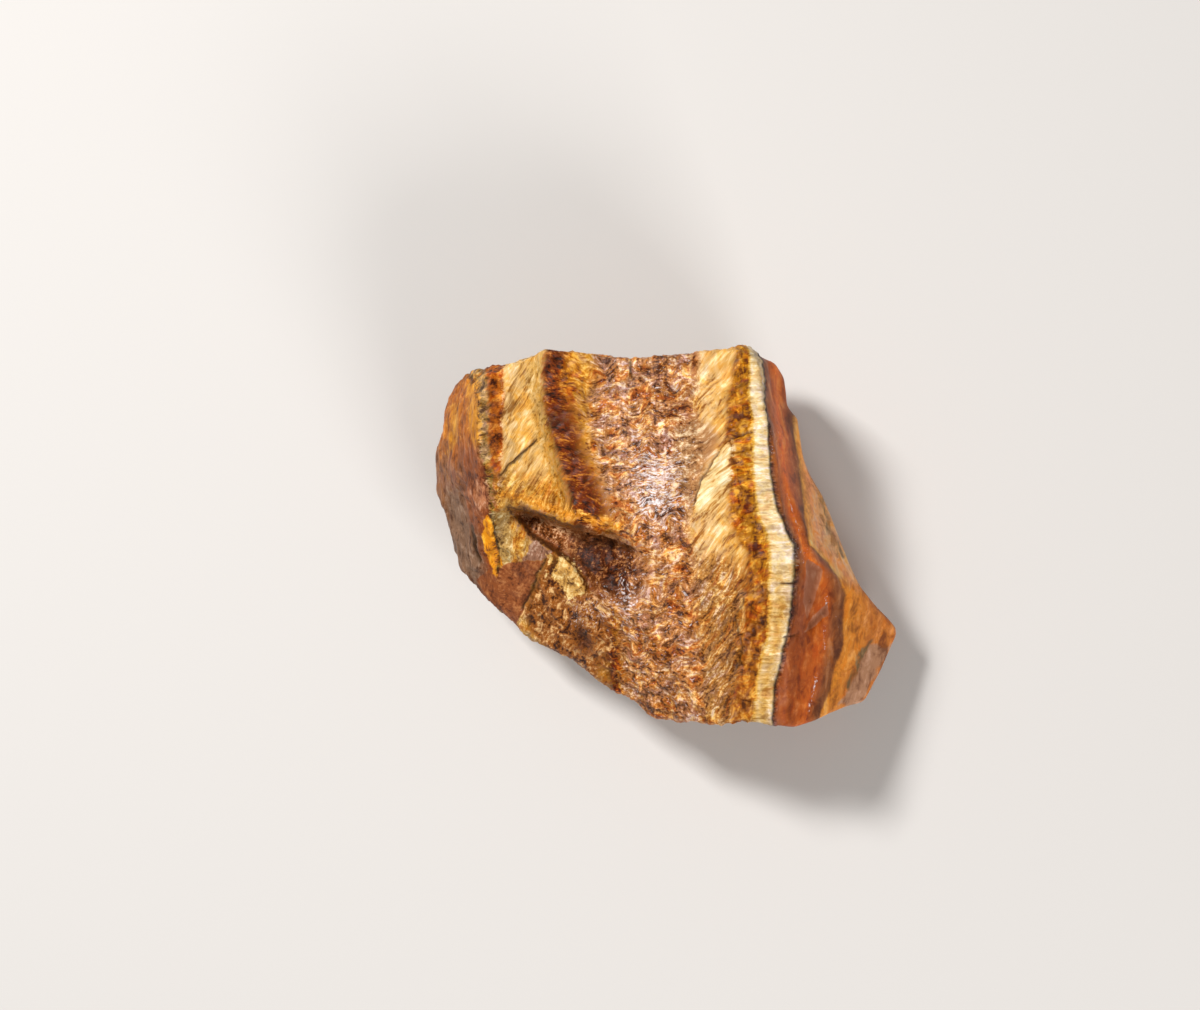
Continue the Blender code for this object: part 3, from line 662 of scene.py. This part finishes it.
# Iron stains the fibres unevenly, from lilac grey where there is none to rust; the silk is
# stained only from cream to gold, the cream band half as much and the walls from pink to gold
tint = add("ValToRGB", {}, {"Fac": grains["warmth"]}, [
    (0.39, "#DED0EA"), (0.45, "#FAF4FA"), (0.50, "#FFF4DC"), (0.56, "#FFE29C"), (0.63, "#ECB06C")])
wall_tint = add("ValToRGB", {}, {"Fac": grains["clouds"]}, [
    (0.36, "#E4CCC4"), (0.50, "#FFF4E0"), (0.62, "#FFE098")])
silk_tint = add("ValToRGB", {}, {"Fac": grains["clouds"]}, [
    (0.38, "#FFFCF8"), (0.50, "#FFF0CC"), (0.60, "#FFDE90")])
tint = add("Mix", COLOUR_MIX, {"Factor": silk_share, "A": tint, "B": silk_tint})
tint = add("Mix", COLOUR_MIX, {"Factor": shares["ribs"], "A": tint, "B": linear("#FFFAEC")})
tint = add("Mix", COLOUR_MIX, {"Factor": on_walls, "A": tint, "B": wall_tint})
colour = add("Mix", COLOUR_PRODUCT, {"Factor": 1.0, "A": colour, "B": tint})

# Patches over the layers: middle, dark and light colour, how soft the edge is, in mm, and how far
# the grain frays it
PATCH_COLOURS = {
    "rind_grey": ("#805E46", "#4E3424", "#A4846C", 1.2, 9.0),
    "rind_plum": ("#8A4A24", "#562810", "#B07048", 0.8, 8.0),
    "rind_gold": ("#C07C20", "#804410", "#E0A040", 0.5, 5.0),
    "rind_pink": ("#B87850", "#844830", "#D4A080", 0.8, 8.0),
    # Painted shadow of the crest's ledge, laid over the dark brown band beside it
    "crest_shadow_and_stain": ("#6A2802", "#260C00", "#B87020", 1.2, 12.0),
    # The golden lip over the hollow, painted lighter as a highlight along its ridge
    "cavity_lip_gold_and_highlight": ("#CC801C", "#8A4C10", "#F4C060", 0.5, 5.0),
    "rubble": ("#94541C", "#341404", "#ECBC7C", 1.2, 9.0),
    "cavity": ("#8C4E22", "#341606", "#ECB888", 0.5, 7.0),
    # Painted shade on the floor of the hollow, over its dark brown
    "shaded_hollow_floor": ("#542206", "#180600", "#B47844", 1.5, 14.0),
    # Painted shade along the rims of the hollow
    "hollow_rim_shade": ("#341A0C", "#140804", "#7A4C28", 0.4, 6.0),
    # A darker tan patch left of the bright splinter
    "darker_tan_patch": ("#AC7848", "#60381C", "#F0D0A4", 0.8, 8.0),
    "bright_splinter": ("#E4C080", "#B0762C", "#FAEAC4", 0.4, 4.0),
    "khaki_strip": ("#B48C4C", "#5A3C18", "#E4CC94", 0.2, 2.0),
    "grey_block": ("#8C6048", "#583824", "#B8947C", 0.12, 1.0),
    "tan_flakes": ("#C89448", "#54300E", "#F8DC98", 0.3, 6.0),
    "jasper_patch": ("#8A4A24", "#5A2C14", "#B07040", 0.10, 0.5),
    "ochre_wedge": ("#E08C10", "#8A480C", "#FCBC38", 0.12, 0.8),
    "pale_facet": ("#B4805C", "#805034", "#D8A484", 0.3, 2.0),
    "rock_streaks": ("#6E5230", "#4A3418", "#96744C", 0.3, 3.0),
    "jasper_flakes": ("#B06844", "#94502C", "#CC8C68", 0.08, 0.3),
    # Painted shade in the pits
    "shaded_pits": ("#381606", "#140602", "#7C441C", 0.6, 16.0),
    "cracks": ("#46290F", "#1C0E06", "#6E4A2C", 0.16, 0.8),
}
for name, (middle, dark, light, edge, rag) in PATCH_COLOURS.items():
    field = add("Attribute", {"attribute_name": name}, out="Fac")
    field = add("Math", {"operation": "MULTIPLY_ADD"}, {0: centred, 1: rag, 2: field})
    share = add("MapRange", {}, {"Value": field, "From Min": -edge, "From Max": edge})
    tone = add("Mix", COLOUR_MIX, {"Factor": dark_share, "A": linear(middle), "B": linear(dark)})
    tone = add("Mix", COLOUR_MIX, {"Factor": light_share, "A": tone, "B": linear(light)})
    colour = add("Mix", COLOUR_MIX, {"Factor": share, "A": colour, "B": tone})

# Painted highlights: clear grains are painted pale where they catch the light, in the core, thickly at a
# few spots, and in chains on the jasper
GLINTS_AT_SPOTS = 0.15
GLINTS_IN_CORE = 0.10
GLINT_FROM, GLINT_FULL = 0.70, 0.86
CHAIN_GRAIN = 2.4
CHAIN_FROM, CHAIN_FULL = 1.55, 1.75
spots = add("Attribute", {"attribute_name": "painted_sparkles"}, out="Fac")
spots = add("MapRange", {}, {"Value": spots, "From Min": -4.5, "From Max": 1.5,
                             "To Max": GLINTS_AT_SPOTS})
painted_glint = add("Math", {"operation": "MULTIPLY_ADD"}, {0: shares["columns"], 1: GLINTS_IN_CORE, 2: spots})
painted_glint = add("Math", {"operation": "ADD"}, {0: painted_glint, 1: grains["painted_glitter"]})
painted_glint = add("MapRange", {}, {"Value": painted_glint, "From Min": GLINT_FROM, "From Max": GLINT_FULL})
chains = add("Attribute", {"attribute_name": "painted_glint_chains"}, out="Fac")
chains = add("Math", {"operation": "MULTIPLY_ADD"}, {0: grains["pepper"], 1: CHAIN_GRAIN, 2: chains})
chains = add("MapRange", {}, {"Value": chains, "From Min": CHAIN_FROM, "From Max": CHAIN_FULL})
painted_glint = add("Math", {"operation": "MAXIMUM"}, {0: painted_glint, 1: chains})
colour = add("Mix", COLOUR_MIX, {"Factor": painted_glint, "A": colour, "B": linear("#F2E6E4")})

# Painted shade: low places are painted darker and high ones lighter, and fine fibres stand a fraction of a
# millimetre proud
FIBRE_PROUD = 0.16 * MM
ROCK_BUMP = 0.10
DEEP_PLACE, DEEP_SHADE = -0.5, 0.60
HIGH_PLACE, HIGH_SHADE = 0.35, 1.10
SILKY_ROUGHNESS = 0.47
WAXY_ROUGHNESS = 0.50
QUARTZ_IOR = 1.544
BROKEN_SKIN_SHINE = 0.13
depth = add("Attribute", {"attribute_name": "relief"}, out="Fac")
shade = add("MapRange", {}, {"Value": depth, "From Min": DEEP_PLACE, "From Max": HIGH_PLACE,
                             "To Min": DEEP_SHADE, "To Max": HIGH_SHADE})
colour = add("Mix", COLOUR_PRODUCT, {"Factor": 1.0, "A": colour, "B": shade})
roughness = add("MapRange", {}, {"Value": on_rock, "To Min": SILKY_ROUGHNESS, "To Max": WAXY_ROUGHNESS})
strength = add("MapRange", {}, {"Value": on_rock, "To Min": 1.0, "To Max": ROCK_BUMP})
bump = add("Bump", {}, {"Strength": strength, "Distance": FIBRE_PROUD, "Height": streaky})
tree.links.new(colour, surface.inputs["Base Color"])
tree.links.new(roughness, surface.inputs["Roughness"])
tree.links.new(bump, surface.inputs["Normal"])
surface.inputs["IOR"].default_value = QUARTZ_IOR
surface.inputs["Specular IOR Level"].default_value = BROKEN_SKIN_SHINE
stone.data.materials.append(tigers_eye)

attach(stone, "root")
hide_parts("rough_tigers_eye")


# ---------------------------------------------------------------------------------------------
# The table: a plain pale sheet of card under the stone, big enough to fill the picture.
# ---------------------------------------------------------------------------------------------
TABLE_WIDTH = 3.0
CARD_ROUGHNESS = 0.9
bpy.ops.object.select_all(action="DESELECT")
bpy.ops.mesh.primitive_plane_add(size=TABLE_WIDTH, location=(0.0, 0.0, 0.0))
table = bpy.context.active_object
table.name = "table"
card = bpy.data.materials.new("matt_white_card")
card.use_nodes = True
card_surface = card.node_tree.nodes["Principled BSDF"]
card_surface.inputs["Base Color"].default_value = linear("#C8C4C0")
card_surface.inputs["Roughness"].default_value = CARD_ROUGHNESS
table.data.materials.append(card)


# ---------------------------------------------------------------------------------------------
# The camera looks straight down on the break, and the lights are those of a small studio: a soft
# key over the top left corner, a wider and weaker one from the lower right, and pale walls.
# ---------------------------------------------------------------------------------------------
PICTURE_WIDTH = 1200
PIXEL = 0.19 * MM
PICTURE_MIDDLE = (-12.62 * MM, 5.79 * MM)
OUTLINE_HEIGHT = 15.0 * MM
CAMERA_ABOVE = 1.0
SENSOR_WIDTH = 36.0
camera_data = bpy.data.cameras.new("camera")
camera_data.sensor_width = SENSOR_WIDTH
camera_data.lens = SENSOR_WIDTH * CAMERA_ABOVE / (PICTURE_WIDTH * PIXEL)
camera = bpy.data.objects.new("camera", camera_data)
camera.location = (*PICTURE_MIDDLE, OUTLINE_HEIGHT + CAMERA_ABOVE)
bpy.context.scene.collection.objects.link(camera)
bpy.context.scene.camera = camera

# Each light: its place and width in metres, and its power in watts
LIGHTS = [
    ("key", (-0.42, 0.37, 0.72), 0.16, 9.4),
    ("fill", (0.40, -0.60, 0.50), 0.40, 5.0),
]
STONE_MIDDLE_HEIGHT = 20.0 * MM
WALL_LIGHT = 0.26
for name, place, size, power in LIGHTS:
    lamp = bpy.data.lights.new(name, "AREA")
    lamp.size = size
    lamp.energy = power
    holder = bpy.data.objects.new(name, lamp)
    holder.location = place
    towards_stone = Vector((0.0, 0.0, STONE_MIDDLE_HEIGHT)) - Vector(place)
    holder.rotation_euler = towards_stone.to_track_quat("-Z", "Y").to_euler()
    bpy.context.scene.collection.objects.link(holder)

world = bpy.data.worlds.new("studio")
world.use_nodes = True
walls = world.node_tree.nodes["Background"]
walls.inputs["Color"].default_value = linear("#F4F2F0")
walls.inputs["Strength"].default_value = WALL_LIGHT
bpy.context.scene.world = world
bpy.context.scene.view_settings.view_transform = "Standard"
